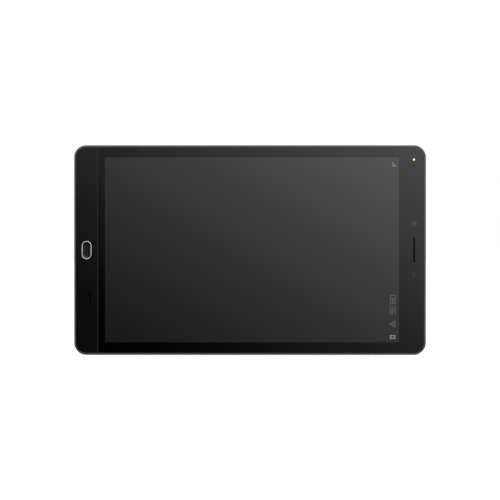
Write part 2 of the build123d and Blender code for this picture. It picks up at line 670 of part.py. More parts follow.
pieces = {
    "mid_frame": mid_frame,
    "chin_panel": chin_panel,
    "end_cap": end_cap,
    "rear_cover": rear_cover,
    "rear_band": rear_band,
    "cover_gasket": cover_gasket,
    "cap_plugs": cap_plugs,
    "cap_screws": cap_screws,
    "cover_glass": cover_glass,
    "display_gasket": display_gasket,
    "touch_sensor": touch_sensor,
    "lcd_panel": lcd_panel,
    "backlight_unit": backlight_unit,
    "display_flex": display_flex,
    "home_ring": home_ring,
    "home_button": home_button,
    "fingerprint_sensor": fingerprint_sensor,
    "home_switch": home_switch,
    "sensor_flex": sensor_flex,
    "status_led": status_led,
    "light_sensor": light_sensor,
    "proximity_sensor": proximity_sensor,
    "front_camera": front_camera,
    "earpiece_mesh": earpiece_mesh,
    "earpiece_receiver": earpiece_receiver,
    "camera_bezel": camera_bezel,
    "island_seal": island_seal,
    "camera_window": camera_window,
    "camera_module": camera_module,
    "camera_lens": camera_lens,
    "flash_lens": flash_lens,
    "contact_block": contact_block,
    "dock_contacts": dock_contacts,
    "contact_gasket": contact_gasket,
    "dock_flex": dock_flex,
    "main_board": main_board,
    "board_screws": board_screws,
    "shield_cans": shield_cans,
    "processor": processor,
    "heat_spreader": heat_spreader,
    "board_connectors": board_connectors,
    "link_flex": link_flex,
    "battery": battery,
    "battery_lead": battery_lead,
    "power_button": power_button,
    "volume_rocker": volume_rocker,
    "key_bracket": key_bracket,
    "side_key_flex": side_key_flex,
    "sim_socket": sim_socket,
    "sim_tray": sim_tray,
    "usb_board": usb_board,
    "usb_port": usb_port,
    "usb_door": usb_door,
    "door_pin": door_pin,
    "microphone": microphone,
    "loudspeaker": loudspeaker,
    "speaker_mesh": speaker_mesh,
    "vibration_motor": vibration_motor,
    "gnss_antenna": gnss_antenna,
    "radio_antenna": radio_antenna,
}
for name, piece in pieces.items():
    piece.part.label = name
    export_step(piece.part, f"parts/{name}.step")
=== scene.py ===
import json
import math
import random

import bmesh
import bpy
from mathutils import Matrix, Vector


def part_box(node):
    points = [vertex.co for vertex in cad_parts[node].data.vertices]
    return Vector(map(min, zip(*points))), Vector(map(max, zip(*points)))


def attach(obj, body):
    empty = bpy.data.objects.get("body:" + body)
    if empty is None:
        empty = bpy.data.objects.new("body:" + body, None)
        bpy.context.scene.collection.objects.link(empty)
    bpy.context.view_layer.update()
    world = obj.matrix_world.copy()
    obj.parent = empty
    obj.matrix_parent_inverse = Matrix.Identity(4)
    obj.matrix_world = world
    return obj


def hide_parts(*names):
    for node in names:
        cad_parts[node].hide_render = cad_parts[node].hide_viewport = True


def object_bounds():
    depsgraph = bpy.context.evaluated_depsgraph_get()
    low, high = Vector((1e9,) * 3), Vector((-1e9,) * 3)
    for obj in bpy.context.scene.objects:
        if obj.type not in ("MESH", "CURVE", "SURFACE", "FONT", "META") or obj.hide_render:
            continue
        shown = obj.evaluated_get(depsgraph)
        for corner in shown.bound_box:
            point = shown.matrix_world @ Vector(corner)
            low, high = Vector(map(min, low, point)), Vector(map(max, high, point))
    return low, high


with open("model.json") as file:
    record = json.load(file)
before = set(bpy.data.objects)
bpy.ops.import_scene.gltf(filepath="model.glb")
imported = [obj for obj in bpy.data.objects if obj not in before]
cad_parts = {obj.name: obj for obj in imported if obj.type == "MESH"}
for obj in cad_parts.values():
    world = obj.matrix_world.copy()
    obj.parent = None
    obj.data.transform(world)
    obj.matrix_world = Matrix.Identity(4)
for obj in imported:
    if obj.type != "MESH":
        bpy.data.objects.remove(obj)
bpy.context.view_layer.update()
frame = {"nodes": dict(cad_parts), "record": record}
mm = 0.001
record = frame["record"]
print("frame loaded,", len(frame["nodes"]), "nodes")


# Camera, straight at the screen
shot = {"lens": 85, "sensor": 36, "lengthInFrame": 0.7045}
low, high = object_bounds()
tanHalf = shot["sensor"] / 2 / shot["lens"]
stepBack = (high.x - low.x) / shot["lengthInFrame"] / 2 / tanHalf
cameraData = bpy.data.cameras.new("camera")
cameraData.lens = shot["lens"]
cameraData.sensor_width = shot["sensor"]
cameraData.clip_start = 0.01
camera = bpy.data.objects.new("camera", cameraData)
camera.location = ((low.x + high.x) / 2, low.y - stepBack, (low.z + high.z) / 2)
camera.rotation_euler = (math.radians(90), 0, 0)
bpy.context.scene.collection.objects.link(camera)
bpy.context.scene.camera = camera
bpy.context.scene.view_settings.view_transform = "Standard"


# Node maths: a Wire is an output socket that can be used in sums
class Wire:
    def __init__(self, graph, socket):
        self.graph = graph
        self.socket = socket

    def maths(self, operation, *others):
        return self.graph.maths(operation, self, *others)

    def __add__(self, other):
        return self.maths("ADD", other)

    def __radd__(self, other):
        return self.maths("ADD", other)

    def __sub__(self, other):
        return self.maths("SUBTRACT", other)

    def __rsub__(self, other):
        return self.graph.maths("SUBTRACT", other, self)

    def __mul__(self, other):
        return self.maths("MULTIPLY", other)

    def __rmul__(self, other):
        return self.maths("MULTIPLY", other)

    def __truediv__(self, other):
        return self.maths("DIVIDE", other)

    def __gt__(self, other):
        return self.maths("GREATER_THAN", other)

    def __lt__(self, other):
        return self.maths("LESS_THAN", other)


# What shader trees and geometry trees share: every node is made by add
class Graph:
    def add(self, kind, settings, sockets, output=0):
        node = self.tree.nodes.new(kind)
        for key, value in settings.items():
            if key == "stops":  # a colour ramp's own list of (place, grey)
                made = node.color_ramp.elements
                for index, (place, grey) in enumerate(value):
                    stop = made[index] if index < 2 else made.new(place)
                    stop.position = place
                    stop.color = (grey, grey, grey, 1)
            else:
                setattr(node, key, value)
        for key, value in sockets.items():
            if isinstance(value, Wire):
                self.tree.links.new(value.socket, node.inputs[key])
            else:
                node.inputs[key].default_value = value
        return Wire(self, node.outputs[output]) if node.outputs else None

    def maths(self, operation, *values):
        return self.add("ShaderNodeMath", {"operation": operation}, dict(enumerate(values)))


class Finish(Graph):
    def __init__(self, name, owner=None):
        self.owner = owner or bpy.data.materials.new(name)
        self.owner.use_nodes = True
        self.tree = self.owner.node_tree
        self.tree.nodes.clear()

    def place(self):  # where a point is on the object, in metres
        return self.add("ShaderNodeTexCoord", {}, {}, "Object")

    def axis(self, name):
        return self.add("ShaderNodeSeparateXYZ", {}, {"Vector": self.place()}, name)

    def noise(self, size, detail=2.0, stretch=(1, 1, 1)):  # size of one blotch in metres
        spread = self.add("ShaderNodeMapping", {}, {"Vector": self.place(), "Scale": stretch})
        sockets = {"Vector": spread, "Scale": 1 / size, "Detail": detail}
        return self.add("ShaderNodeTexNoise", {}, sockets)

    def ramp(self, value, stops):
        return self.add("ShaderNodeValToRGB", {"stops": stops}, {0: value})

    def mix(self, share, first, second, blend="MIX"):
        settings = {"data_type": "RGBA", "blend_type": blend}
        return self.add("ShaderNodeMix", settings, {0: share, 6: first, 7: second}, 2)

    def bump(self, height, depth, strength=1.0):
        sockets = {"Height": height, "Distance": depth, "Strength": strength}
        return self.add("ShaderNodeBump", {}, sockets, "Normal")

    def edges(self, radius):  # 0 on flat faces, rising to 1 at worn corners
        rounded = self.add("ShaderNodeBevel", {"samples": 4}, {"Radius": radius})
        flat = self.add("ShaderNodeNewGeometry", {}, {}, "Normal")
        settings = {"operation": "DOT_PRODUCT"}
        match = self.add("ShaderNodeVectorMath", settings, {0: rounded, 1: flat}, "Value")
        return self.ramp(1 - match, [(0.02, 0), (0.25, 1)])

    def surface(self, sockets):
        shader = self.add("ShaderNodeBsdfPrincipled", {}, sockets)
        self.add("ShaderNodeOutputMaterial", {}, {"Surface": shader})
        return self.owner


def tint(colour, factor=1.0):
    return tuple(channel * factor for channel in colour) + (1,)


# Moulded, painted or coated skin: fine grain, soft mottling, rubbed edges, and painted shade deep in grooves
# where given
def grainedSkin(name, spec):
    finish = Finish(name)
    grain = finish.noise(spec["grain"] * mm, 3)
    mottle = finish.noise(spec.get("mottleSize", 14) * mm, 4)
    change = (mottle - 0.5) * spec["mottle"] * 2 + (grain - 0.5) * spec["fleck"] * 2 + 1
    if spec.get("sunkLevels"):  # painted shade: darker where the surface lies deep in its grooves
        deep, proud = spec["sunkLevels"]
        raised = finish.add("ShaderNodeMapRange", {"interpolation_type": "SMOOTHSTEP"}, {
            "Value": finish.axis("Y"), "From Min": deep * mm, "From Max": proud * mm,
            "To Min": spec["paintedGrooveShade"], "To Max": 1.0})
        change = change * raised
    colour = finish.mix(1.0, tint(spec["colour"]), change, "MULTIPLY")
    if spec.get("wear"):
        rubbed = finish.edges(spec.get("wearRadius", 0.25) * mm) * finish.ramp(mottle, [(0.4, 0), (0.7, 1)])
        colour = finish.mix(rubbed * spec["wear"], colour, tint(spec["wornColour"]))
    rough = (finish.noise(5 * mm, 3) - 0.5) * spec["roughSpread"] * 2 + spec["rough"]
    return finish.surface({
        "Base Color": colour,
        "Roughness": rough,
        "Metallic": spec.get("metal", 0.0),
        "Specular IOR Level": spec.get("gloss", 0.5),
        "Normal": finish.bump(grain, spec["depth"] * mm),
    })


# Rolled, stamped or plated metal with fine lines along one direction
def brushedMetal(name, spec):
    finish = Finish(name)
    lines = finish.noise(spec["line"] * mm, 4, spec.get("along", (1, 1, 0.04)))
    blotch = finish.noise(3 * mm, 3)
    colour = finish.mix(1.0, tint(spec["colour"]), (blotch - 0.5) * spec["tarnish"] * 2 + 1, "MULTIPLY")
    rough = (lines - 0.5) * 0.24 + (blotch - 0.5) * 0.1 + spec["rough"]
    return finish.surface({
        "Base Color": colour,
        "Roughness": rough,
        "Metallic": spec.get("metal", 1.0),
        "Specular IOR Level": spec.get("gloss", 0.5),
        "Normal": finish.bump(lines, spec["depth"] * mm),
    })


# Polished hard surface with faint finger marks that only change its gloss
def polished(name, spec):
    finish = Finish(name)
    smear = finish.ramp(finish.noise(9 * mm, 5), [(0.45, 0), (0.75, 1)])
    dust = finish.ramp(finish.noise(0.22 * mm, 1), [(0.74, 0), (0.8, 1)])
    colour = finish.mix(dust * 0.25, tint(spec["colour"]), tint(spec["colour"], 2.5))
    return finish.surface({
        "Base Color": colour,
        "Roughness": smear * 0.05 + spec["rough"],
        "Metallic": spec.get("metal", 0.0),
        "Specular IOR Level": spec.get("gloss", 0.5),
        "Normal": finish.bump(finish.noise(2.5 * mm, 2), 0.0004 * mm),
    })


# Printed circuit board: solder mask with copper tracks under it and bare pads
def boardFinish(name):
    finish = Finish(name)
    tracks = finish.add("ShaderNodeTexWave", {"wave_type": "BANDS", "bands_direction": "X"},
                        {"Vector": finish.place(), "Scale": 900, "Distortion": 14.0, "Detail": 1.0})
    onTrack = tracks > 0.62
    cells = finish.add("ShaderNodeTexVoronoi", {"feature": "F1"}, {"Vector": finish.place(), "Scale": 520})
    pads = cells < 0.16
    mask = finish.mix(onTrack, (0.006, 0.06, 0.03, 1), (0.02, 0.16, 0.07, 1))
    colour = finish.mix(pads, mask, (0.72, 0.5, 0.18, 1))
    return finish.surface({
        "Base Color": colour,
        "Metallic": pads * 0.9,
        "Roughness": 0.42 - pads * 0.15,
        "Normal": finish.bump(onTrack + pads, 0.02 * mm),
    })


skins = {
    "housingPaint": {"colour": (0.042, 0.042, 0.043), "grain": 0.22, "depth": 0.006, "mottle": 0.07,
        "fleck": 0.1, "rough": 0.42, "roughSpread": 0.08, "wear": 0.55,
        "wornColour": (0.14, 0.14, 0.14)},
    "capPlastic": {"colour": (0.026, 0.026, 0.026), "grain": 0.3, "depth": 0.012, "mottle": 0.05,
        "fleck": 0.12, "rough": 0.5, "roughSpread": 0.07, "wear": 0.3,
        "wornColour": (0.06, 0.06, 0.06)},
    # The rear cover's colour carries painted shade deep in its grooves
    "coverPlastic": {"colour": (0.197, 0.197, 0.197), "grain": 0.25, "depth": 0.006, "mottle": 0.04,
        "fleck": 0.07, "rough": 0.45, "roughSpread": 0.08, "wear": 0.2,
        "wornColour": (0.25, 0.25, 0.25), "wearRadius": 0.08, "sunkLevels": (4.24, 4.44),
        "paintedGrooveShade": 0.55},
    "bandPlastic": {"colour": (0.076, 0.076, 0.076), "grain": 0.28, "depth": 0.008, "mottle": 0.05,
        "fleck": 0.1, "rough": 0.42, "roughSpread": 0.07, "wear": 0.4, "wornColour": (0.1, 0.1, 0.1)},
    "keyPlastic": {"colour": (0.045, 0.045, 0.046), "grain": 0.2, "depth": 0.008, "mottle": 0.05,
        "fleck": 0.12, "rough": 0.5, "roughSpread": 0.08, "wear": 0.5,
        "wornColour": (0.13, 0.13, 0.13)},
    "sealRubber": {"colour": (0.014, 0.014, 0.014), "grain": 0.35, "depth": 0.015, "mottle": 0.12,
        "fleck": 0.2, "rough": 0.78, "roughSpread": 0.08},
    "blackMoulding": {"colour": (0.015, 0.0155, 0.017), "grain": 0.2, "depth": 0.006, "mottle": 0.08,
        "fleck": 0.15, "rough": 0.48, "roughSpread": 0.08},
    "chipEpoxy": {"colour": (0.018, 0.018, 0.019), "grain": 0.12, "depth": 0.004, "mottle": 0.1,
        "fleck": 0.25, "rough": 0.5, "roughSpread": 0.1},
    "cellWrap": {"colour": (0.03, 0.031, 0.034), "grain": 1.2, "depth": 0.02, "mottle": 0.15,
        "fleck": 0.06, "rough": 0.36, "roughSpread": 0.12},
    "ribbonFilm": {"colour": (0.33, 0.14, 0.025), "grain": 0.5, "depth": 0.004, "mottle": 0.15,
        "fleck": 0.1, "rough": 0.32, "roughSpread": 0.1},
    "reflectorFilm": {"colour": (0.7, 0.7, 0.69), "grain": 0.4, "depth": 0.003, "mottle": 0.04,
        "fleck": 0.05, "rough": 0.4, "roughSpread": 0.05},
    "firedCeramic": {"colour": (0.62, 0.57, 0.48), "grain": 0.3, "depth": 0.008, "mottle": 0.08,
        "fleck": 0.1, "rough": 0.45, "roughSpread": 0.08},
    "cardTray": {"colour": (0.075, 0.075, 0.077), "grain": 0.15, "depth": 0.004, "mottle": 0.05,
        "fleck": 0.1, "rough": 0.38, "roughSpread": 0.06, "metal": 0.6, "wear": 0.5,
        "wornColour": (0.3, 0.3, 0.3)},
    "phosphor": {"colour": (0.22, 0.23, 0.16), "grain": 0.15, "depth": 0.004, "mottle": 0.1,
        "fleck": 0.15, "rough": 0.3, "roughSpread": 0.05},
}
metals = {
    "stampedSteel": {"colour": (0.55, 0.55, 0.56), "line": 0.08, "tarnish": 0.08, "rough": 0.34,
        "depth": 0.002},
    "rolledCopper": {"colour": (0.78, 0.36, 0.2), "line": 0.1, "tarnish": 0.2, "rough": 0.36,
        "depth": 0.002},
    "platedGold": {"colour": (1.0, 0.52, 0.002), "line": 0.05, "tarnish": 0.08, "rough": 0.42,
        "depth": 0.001, "metal": 0.22, "gloss": 0.2},
    "satinSilver": {"colour": (0.84, 0.83, 0.78), "line": 0.06, "tarnish": 0.05, "rough": 0.3,
        "depth": 0.001, "metal": 0.62},
    "darkBezel": {"colour": (0.27, 0.27, 0.27), "line": 0.06, "tarnish": 0.06, "rough": 0.32,
        "depth": 0.001, "metal": 0.5},
    "blackWire": {"colour": (0.006, 0.006, 0.006), "line": 0.05, "tarnish": 0.1, "rough": 0.6,
        "depth": 0.001, "metal": 0.1, "gloss": 0.08},
}
gloss = {
    "chinGloss": {"colour": (0.003, 0.003, 0.0031), "rough": 0.07},
    "buttonGloss": {"colour": (0.006, 0.006, 0.006), "rough": 0.12},
    "sensorWindow": {"colour": (0.002, 0.002, 0.003), "rough": 0.2, "gloss": 0.25},
    "windowBlack": {"colour": (0.0022, 0.0022, 0.0024), "rough": 0.05, "gloss": 0.2},
    "keyInk": {"colour": (0.0006, 0.0006, 0.0006), "rough": 0.5, "gloss": 0.0},
    "lensCoating": {"colour": (0.011, 0.011, 0.013), "rough": 0.04, "gloss": 0.8},
    "eyeTint": {"colour": (0.018, 0.018, 0.018), "rough": 0.07},
    "clearFlash": {"colour": (0.19, 0.195, 0.15), "rough": 0.12},
    "displayFilm": {"colour": (0.02, 0.02, 0.022), "rough": 0.15},
}
materials = {name: grainedSkin(name, spec) for name, spec in skins.items()}
materials.update({name: brushedMetal(name, spec) for name, spec in metals.items()})
materials.update({name: polished(name, spec) for name, spec in gloss.items()})
materials["boardMask"] = boardFinish("boardMask")
print("finishes made,", len(materials))


# Mesh helpers
def smoothPiece(name, mesh, merge, closed, smoothAngle):
    work = bmesh.new()
    work.from_mesh(mesh)
    bmesh.ops.remove_doubles(work, verts=work.verts, dist=merge)
    if closed:
        bmesh.ops.recalc_face_normals(work, faces=work.faces)
    work.to_mesh(mesh)
    work.free()
    mesh.shade_smooth()
    mesh.set_sharp_from_angle(angle=math.radians(smoothAngle))
    piece = bpy.data.objects.new(name, mesh)
    bpy.context.scene.collection.objects.link(piece)
    return piece


def makePiece(name, verts, faces, closed=True, smoothAngle=35):
    mesh = bpy.data.meshes.new(name)
    mesh.from_pydata(verts, [], faces)
    return smoothPiece(name, mesh, 1e-7, closed, smoothAngle)


# Skins a row of equal loops, with a face over each end or joined round on itself
def joinLoops(name, loops, ring=False, smoothAngle=35):
    size = len(loops[0])
    verts = [point for loop in loops for point in loop]
    faces = []
    for row in range(len(loops) if ring else len(loops) - 1):
        nextRow = (row + 1) % len(loops)
        for i in range(size):
            j = (i + 1) % size
            faces.append((row * size + i, row * size + j, nextRow * size + j, nextRow * size + i))
    if not ring:
        faces.append(tuple(range(size)))
        faces.append(tuple(range((len(loops) - 1) * size, len(loops) * size)))
    return makePiece(name, verts, faces, smoothAngle=smoothAngle)


# Rounded rectangle in X and Z at height y. radii go round from the +X +Z corner
def roundedLoop(xs, zs, radii, inset, y, steps=16):
    points = []
    turns = [(xs[1], zs[1], -1, -1), (xs[0], zs[1], 1, -1), (xs[0], zs[0], 1, 1), (xs[1], zs[0], -1, 1)]
    for quarter, ((x, z, inX, inZ), radius) in enumerate(zip(turns, radii)):
        bend = max(radius - inset, 1e-5)
        centreX = x + inX * (bend + inset)
        centreZ = z + inZ * (bend + inset)
        for step in range(steps + 1):
            angle = math.radians(90 * (quarter + step / steps))
            points.append((centreX + bend * math.cos(angle), y, centreZ + bend * math.sin(angle)))
    return points


# A loop just inside the front face keeps that face's shading flat
def supported(profile):
    inset, y = profile[0]
    return [(inset + 0.08, y)] + profile


def roundedSlab(name, xs, zs, radii, profile):
    loops = [roundedLoop(xs, zs, radii, inset * mm, y) for inset, y in supported(profile)]
    return joinLoops(name, loops)


# Loop with full-round ends, long up Z
def pillLoop(x, z, length, breadth, y, steps=24):
    radius = breadth / 2
    reach = (length - breadth) / 2
    points = []
    for end, start in ((1, 0), (-1, 180)):
        for step in range(steps + 1):
            angle = math.radians(start + 180 * step / steps)
            points.append((x + radius * math.cos(angle), y, z + end * reach + radius * math.sin(angle)))
    return points


def pillSlab(name, x, z, size, profile):
    loops = [pillLoop(x, z, size[0] - 2 * inset * mm, size[1] - 2 * inset * mm, y)
             for inset, y in supported(profile)]
    return joinLoops(name, loops)


def pillRing(name, x, z, size, profile):
    loops = [pillLoop(x, z, size[0] - 2 * inset * mm, size[1] - 2 * inset * mm, y) for inset, y in profile]
    return joinLoops(name, loops, ring=True)


# Turns a row of (radius, y) about an axis along Y; a radius of 0 closes it at a point
def turned(name, x, z, profile, steps=48, ring=False, smoothAngle=35):
    loops = []
    for radius, y in profile:
        angles = [2 * math.pi * step / steps for step in range(steps)]
        loops.append([(x + radius * math.cos(a), y, z + radius * math.sin(a)) for a in angles])
    return joinLoops(name, loops, ring=ring, smoothAngle=smoothAngle)


# The CAD node's own shape, merged and with smooth curves
def weldedCopy(node, name, smoothAngle=32):
    mesh = frame["nodes"][node].data.copy()
    mesh.name = name
    if "custom_normal" in mesh.attributes:
        mesh.attributes.remove(mesh.attributes["custom_normal"])
    return smoothPiece(name, mesh, 2e-6, False, smoothAngle)


def evaluatedMesh(piece):
    seen = piece.evaluated_get(bpy.context.evaluated_depsgraph_get())
    return bpy.data.meshes.new_from_object(seen)


def cutWith(piece, cutters):
    for cutter in cutters:
        step = piece.modifiers.new("cut", "BOOLEAN")
        step.operation = "DIFFERENCE"
        step.solver = "EXACT"
        step.object = cutter
    mesh = evaluatedMesh(piece)
    piece.modifiers.clear()
    piece.data = mesh
    mesh.name = piece.name
    mesh.shade_smooth()
    mesh.set_sharp_from_angle(angle=math.radians(35))
    for cutter in cutters:
        bpy.data.objects.remove(cutter)
    return piece


def dress(piece, material, body="housing", stands=()):
    piece.data.materials.clear()
    piece.data.materials.append(materials[material])
    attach(piece, body)
    if stands:
        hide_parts(*stands)
    return piece


def joined(name, pieces):
    for other in pieces[1:]:
        work = bmesh.new()
        work.from_mesh(pieces[0].data)
        work.from_mesh(other.data)
        work.to_mesh(pieces[0].data)
        work.free()
        bpy.data.objects.remove(other)
    pieces[0].name = name
    pieces[0].data.name = name
    return pieces[0]


# Geometry Nodes helper: a tree with named inputs, baked to a plain mesh
class Nodes(Graph):
    def __init__(self, name, inputs):
        self.tree = bpy.data.node_groups.new(name, "GeometryNodeTree")
        self.tree.interface.new_socket("Geometry", in_out="INPUT", socket_type="NodeSocketGeometry")
        self.sockets = {}
        for label, kind in inputs.items():
            self.sockets[label] = self.tree.interface.new_socket(label, in_out="INPUT", socket_type=kind)
        self.tree.interface.new_socket("Geometry", in_out="OUTPUT", socket_type="NodeSocketGeometry")
        self.source = self.tree.nodes.new("NodeGroupInput")
        self.sink = self.tree.nodes.new("NodeGroupOutput")

    def given(self, label):
        return Wire(self, self.source.outputs[label])

    def finish(self, geometry):
        real = self.add("GeometryNodeRealizeInstances", {}, {0: geometry})
        sockets = {"Geometry": real, "Material": self.given("Finish")}
        painted = self.add("GeometryNodeSetMaterial", {}, sockets)
        self.tree.links.new(painted.socket, self.sink.inputs[0])

    def bake(self, piece, values):
        step = piece.modifiers.new("nodes", "NODES")
        step.node_group = self.tree
        for label, value in values.items():
            step[self.sockets[label].identifier] = value
        mesh = evaluatedMesh(piece)
        piece.modifiers.clear()
        piece.data = mesh
        mesh.name = piece.name
        return piece


# Copies the given mesh over a block of points in X and Z, every second row shifted along
def fieldTree():
    nodes = Nodes("field", {
        "Centre": "NodeSocketVector",
        "Columns": "NodeSocketInt",
        "Rows": "NodeSocketInt",
        "Column step": "NodeSocketFloat",
        "Row step": "NodeSocketFloat",
        "Shift": "NodeSocketFloat",
        "Finish": "NodeSocketMaterial",
    })
    columns = nodes.given("Columns")
    rows = nodes.given("Rows")
    points = nodes.add("GeometryNodeMeshLine", {}, {"Count": columns * rows, "Offset": (0, 0, 0)})
    index = nodes.add("GeometryNodeInputIndex", {}, {})
    row = (index / columns).maths("FLOOR")
    column = index - row * columns
    across = (column - (columns - 1) * 0.5) * nodes.given("Column step")
    shift = (row.maths("MODULO", 2.0) - 0.5) * nodes.given("Shift")
    along = (row - (rows - 1) * 0.5) * nodes.given("Row step")
    offset = nodes.add("ShaderNodeCombineXYZ", {}, {"X": across + shift, "Z": along})
    place = nodes.add("ShaderNodeVectorMath", {"operation": "ADD"}, {0: offset, 1: nodes.given("Centre")})
    moved = nodes.add("GeometryNodeSetPosition", {}, {"Geometry": points, "Position": place})
    sockets = {"Points": moved, "Instance": nodes.given("Geometry")}
    nodes.finish(nodes.add("GeometryNodeInstanceOnPoints", {}, sockets))
    return nodes


field = fieldTree()
print("helpers ready")

# Housing surround
surround = weldedCopy("mid_frame", "housing_surround")
dress(surround, "housingPaint", stands=["mid_frame"])
capBack = weldedCopy("end_cap", "end_cap_shell")
dress(capBack, "capPlastic", stands=["end_cap"])
band = weldedCopy("rear_band", "rear_band_shell")
dress(band, "bandPlastic", stands=["rear_band"])
print("housing done")

# Cover glass with the display printed behind it
glass = {"edge": 0.12, "screenInset": 2.2, "cornerRadius": 5.85, "seamRadius": 0.35, "earTrim": 0.6}
glassLow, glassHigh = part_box("cover_glass")
lcdLow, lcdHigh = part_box("lcd_panel")
meshLow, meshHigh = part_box("earpiece_mesh")
screenX = (lcdLow.x + glass["screenInset"] * mm, lcdHigh.x - glass["screenInset"] * mm)
screenZ = (lcdLow.z + glass["screenInset"] * mm, lcdHigh.z - glass["screenInset"] * mm)


def displayFinish():
    finish = Finish("displayGlass")
    x = finish.axis("X")
    z = finish.axis("Z")
    lit = (x > screenX[0]) * (x < screenX[1]) * (z > screenZ[0]) * (z < screenZ[1])
    across = (x - screenX[0]) / (screenX[1] - screenX[0])
    up = (z - screenZ[0]) / (screenZ[1] - screenZ[0])
    # Painted reflection: the screen glows a little brighter to the upper right, standing in for a soft light
    # reflected in the glass
    glow = (across * 0.0094 + up * 0.0102 + 0.0082) * lit
    smear = finish.ramp(finish.noise(11 * mm, 5), [(0.5, 0), (0.8, 1)])
    return finish.surface({
        "Base Color": finish.mix(lit, (0.0006, 0.0006, 0.0006, 1), (0.0016, 0.0016, 0.0016, 1)),
        "Roughness": smear * 0.03 + 0.035,
        "Emission Color": finish.mix(1.0, (1, 1, 1, 1), glow, "MULTIPLY"),
        "Emission Strength": 1.0,
        "Normal": finish.bump(finish.noise(30 * mm, 1), 0.0006 * mm),
    })


materials["displayGlass"] = displayFinish()
faceY = glassLow.y
edge = glass["edge"]
bevelProfile = [(edge, faceY), (edge * 0.45, faceY + edge * 0.2 * mm),
                (edge * 0.12, faceY + edge * 0.55 * mm), (0, faceY + edge * mm), (0, glassHigh.y)]
glassRadii = [glass["cornerRadius"] * mm, glass["seamRadius"] * mm, glass["seamRadius"] * mm,
              glass["cornerRadius"] * mm]
sheet = roundedSlab("cover_glass_sheet", (glassLow.x, glassHigh.x), (glassLow.z, glassHigh.z), glassRadii,
                    bevelProfile)
earX = (meshLow.x + meshHigh.x) / 2
earZ = (meshLow.z + meshHigh.z) / 2
earTrim = glass["earTrim"] * mm
earSize = (meshHigh.z - meshLow.z - earTrim, meshHigh.x - meshLow.x - earTrim)
slotCutter = pillSlab("slotCutter", earX, earZ, earSize, [(0, faceY - 1 * mm), (0, glassHigh.y + 1 * mm)])
cutWith(sheet, [slotCutter])
dress(sheet, "displayGlass", stands=["cover_glass"])

# Chin panel and home button
chinLow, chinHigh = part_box("chin_panel")
ringLow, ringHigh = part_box("home_ring")
homeX = (ringLow.x + ringHigh.x) / 2
homeZ = (ringLow.z + ringHigh.z) / 2
home = {"ringInset": 0.12, "ringWall": 0.36, "dish": 0.12, "chinRadius": 5.9, "gap": 0.08}
homeTrim = 2 * home["ringInset"] * mm
homeSize = (ringHigh.z - ringLow.z - homeTrim, ringHigh.x - ringLow.x - homeTrim)
chinRadii = [glass["seamRadius"] * mm, home["chinRadius"] * mm, home["chinRadius"] * mm,
             glass["seamRadius"] * mm]
chinProfile = [(inset, y) for inset, y in bevelProfile[:-1]] + [(0, chinHigh.y)]
chin = roundedSlab("chin_cover", (chinLow.x, chinHigh.x), (chinLow.z, chinHigh.z), chinRadii, chinProfile)
homeCutter = pillSlab("homeCutter", homeX, homeZ, homeSize, [(0, faceY - 1 * mm), (0, chinHigh.y + 1 * mm)])
cutWith(chin, [homeCutter])
dress(chin, "chinGloss", stands=["chin_panel"])

ringFront = ringLow.y
wallIn = home["ringWall"]
ringProfile = [(0, ringHigh.y), (0, ringFront + 0.14 * mm), (0.05, ringFront + 0.04 * mm), (0.14, ringFront),
               (wallIn - 0.14, ringFront), (wallIn - 0.05, ringFront + 0.04 * mm),
               (wallIn, ringFront + 0.16 * mm), (wallIn, ringHigh.y)]
homeRing = pillRing("home_button_ring", homeX, homeZ, homeSize, ringProfile)
dress(homeRing, "satinSilver", stands=["home_ring"])

capLow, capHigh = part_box("home_button")
capGap = home["gap"] * mm
capSize = (homeSize[0] - 2 * wallIn * mm - 2 * capGap, homeSize[1] - 2 * wallIn * mm - 2 * capGap)
capFront = capLow.y
dish = home["dish"]
capProfile = [(1.7, capFront + dish * mm), (1.1, capFront + dish * 0.8 * mm),
              (0.55, capFront + dish * 0.35 * mm), (0.25, capFront + 0.01 * mm),
              (0.1, capFront + 0.04 * mm), (0, capFront + 0.16 * mm), (0, capFront + 1.1 * mm),
              (-0.55, capFront + 1.1 * mm), (-0.55, capHigh.y)]
homeCap = pillSlab("home_button_cap", homeX, homeZ, capSize, capProfile)
dress(homeCap, "buttonGloss", body="home_button", stands=["home_button"])
print("front glass, chin and home button done")

# Earpiece mesh and the windows of the front sensors
perforated = {"pitch": 0.42, "hole": 0.13, "sheet": 0.12}


def holedTile(name, pitch, hole, thick, y):
    sides = 12
    around = [math.radians(360 * i / sides + 15) for i in range(sides)]
    halfX, halfZ = pitch / 2, pitch * 0.866 / 2
    rim = []
    for angle in around:
        reach = min(halfX / max(abs(math.cos(angle)), 1e-6), halfZ / max(abs(math.sin(angle)), 1e-6))
        rim.append((reach * math.cos(angle), reach * math.sin(angle)))
    inner = [(hole * math.cos(angle), hole * math.sin(angle)) for angle in around]
    verts = []
    for ring, deep in ((rim, 0), (inner, 0), (inner, thick), (rim, thick)):
        verts += [(a, y + deep, b) for a, b in ring]
    faces = []
    for band in range(3):
        for i in range(sides):
            j = (i + 1) % sides
            inRow, above = band * sides, (band + 1) * sides
            faces.append((inRow + i, inRow + j, above + j, above + i))
    return makePiece(name, verts, faces, closed=False)


pitch = perforated["pitch"] * mm
tile = holedTile("earpiece_grille", pitch, perforated["hole"] * mm, perforated["sheet"] * mm,
                 meshLow.y + 0.01 * mm)
field.bake(tile, {
    "Centre": (earX, 0, earZ),
    "Columns": 4,
    "Rows": 41,
    "Column step": pitch,
    "Row step": pitch * 0.866,
    "Shift": pitch / 2,
    "Finish": materials["blackWire"],
})
dress(tile, "blackWire", stands=["earpiece_mesh"])

# The front windows stand a hair proud of the glass and reach a little into it
windowLift = 0.02 * mm
windowFoot = faceY + 0.01 * mm


def ledFinish():
    finish = Finish("ledGlow")
    fade = finish.noise(0.6 * mm, 2)
    colour = finish.mix(fade * 0.2, (0.72, 0.9, 0.12, 1), (0.9, 1.0, 0.35, 1))
    return finish.surface({
        "Base Color": colour,
        "Roughness": 0.3 + fade * 0.1,
        "Emission Color": colour,
        "Emission Strength": 0.12,
    })


materials["ledGlow"] = ledFinish()


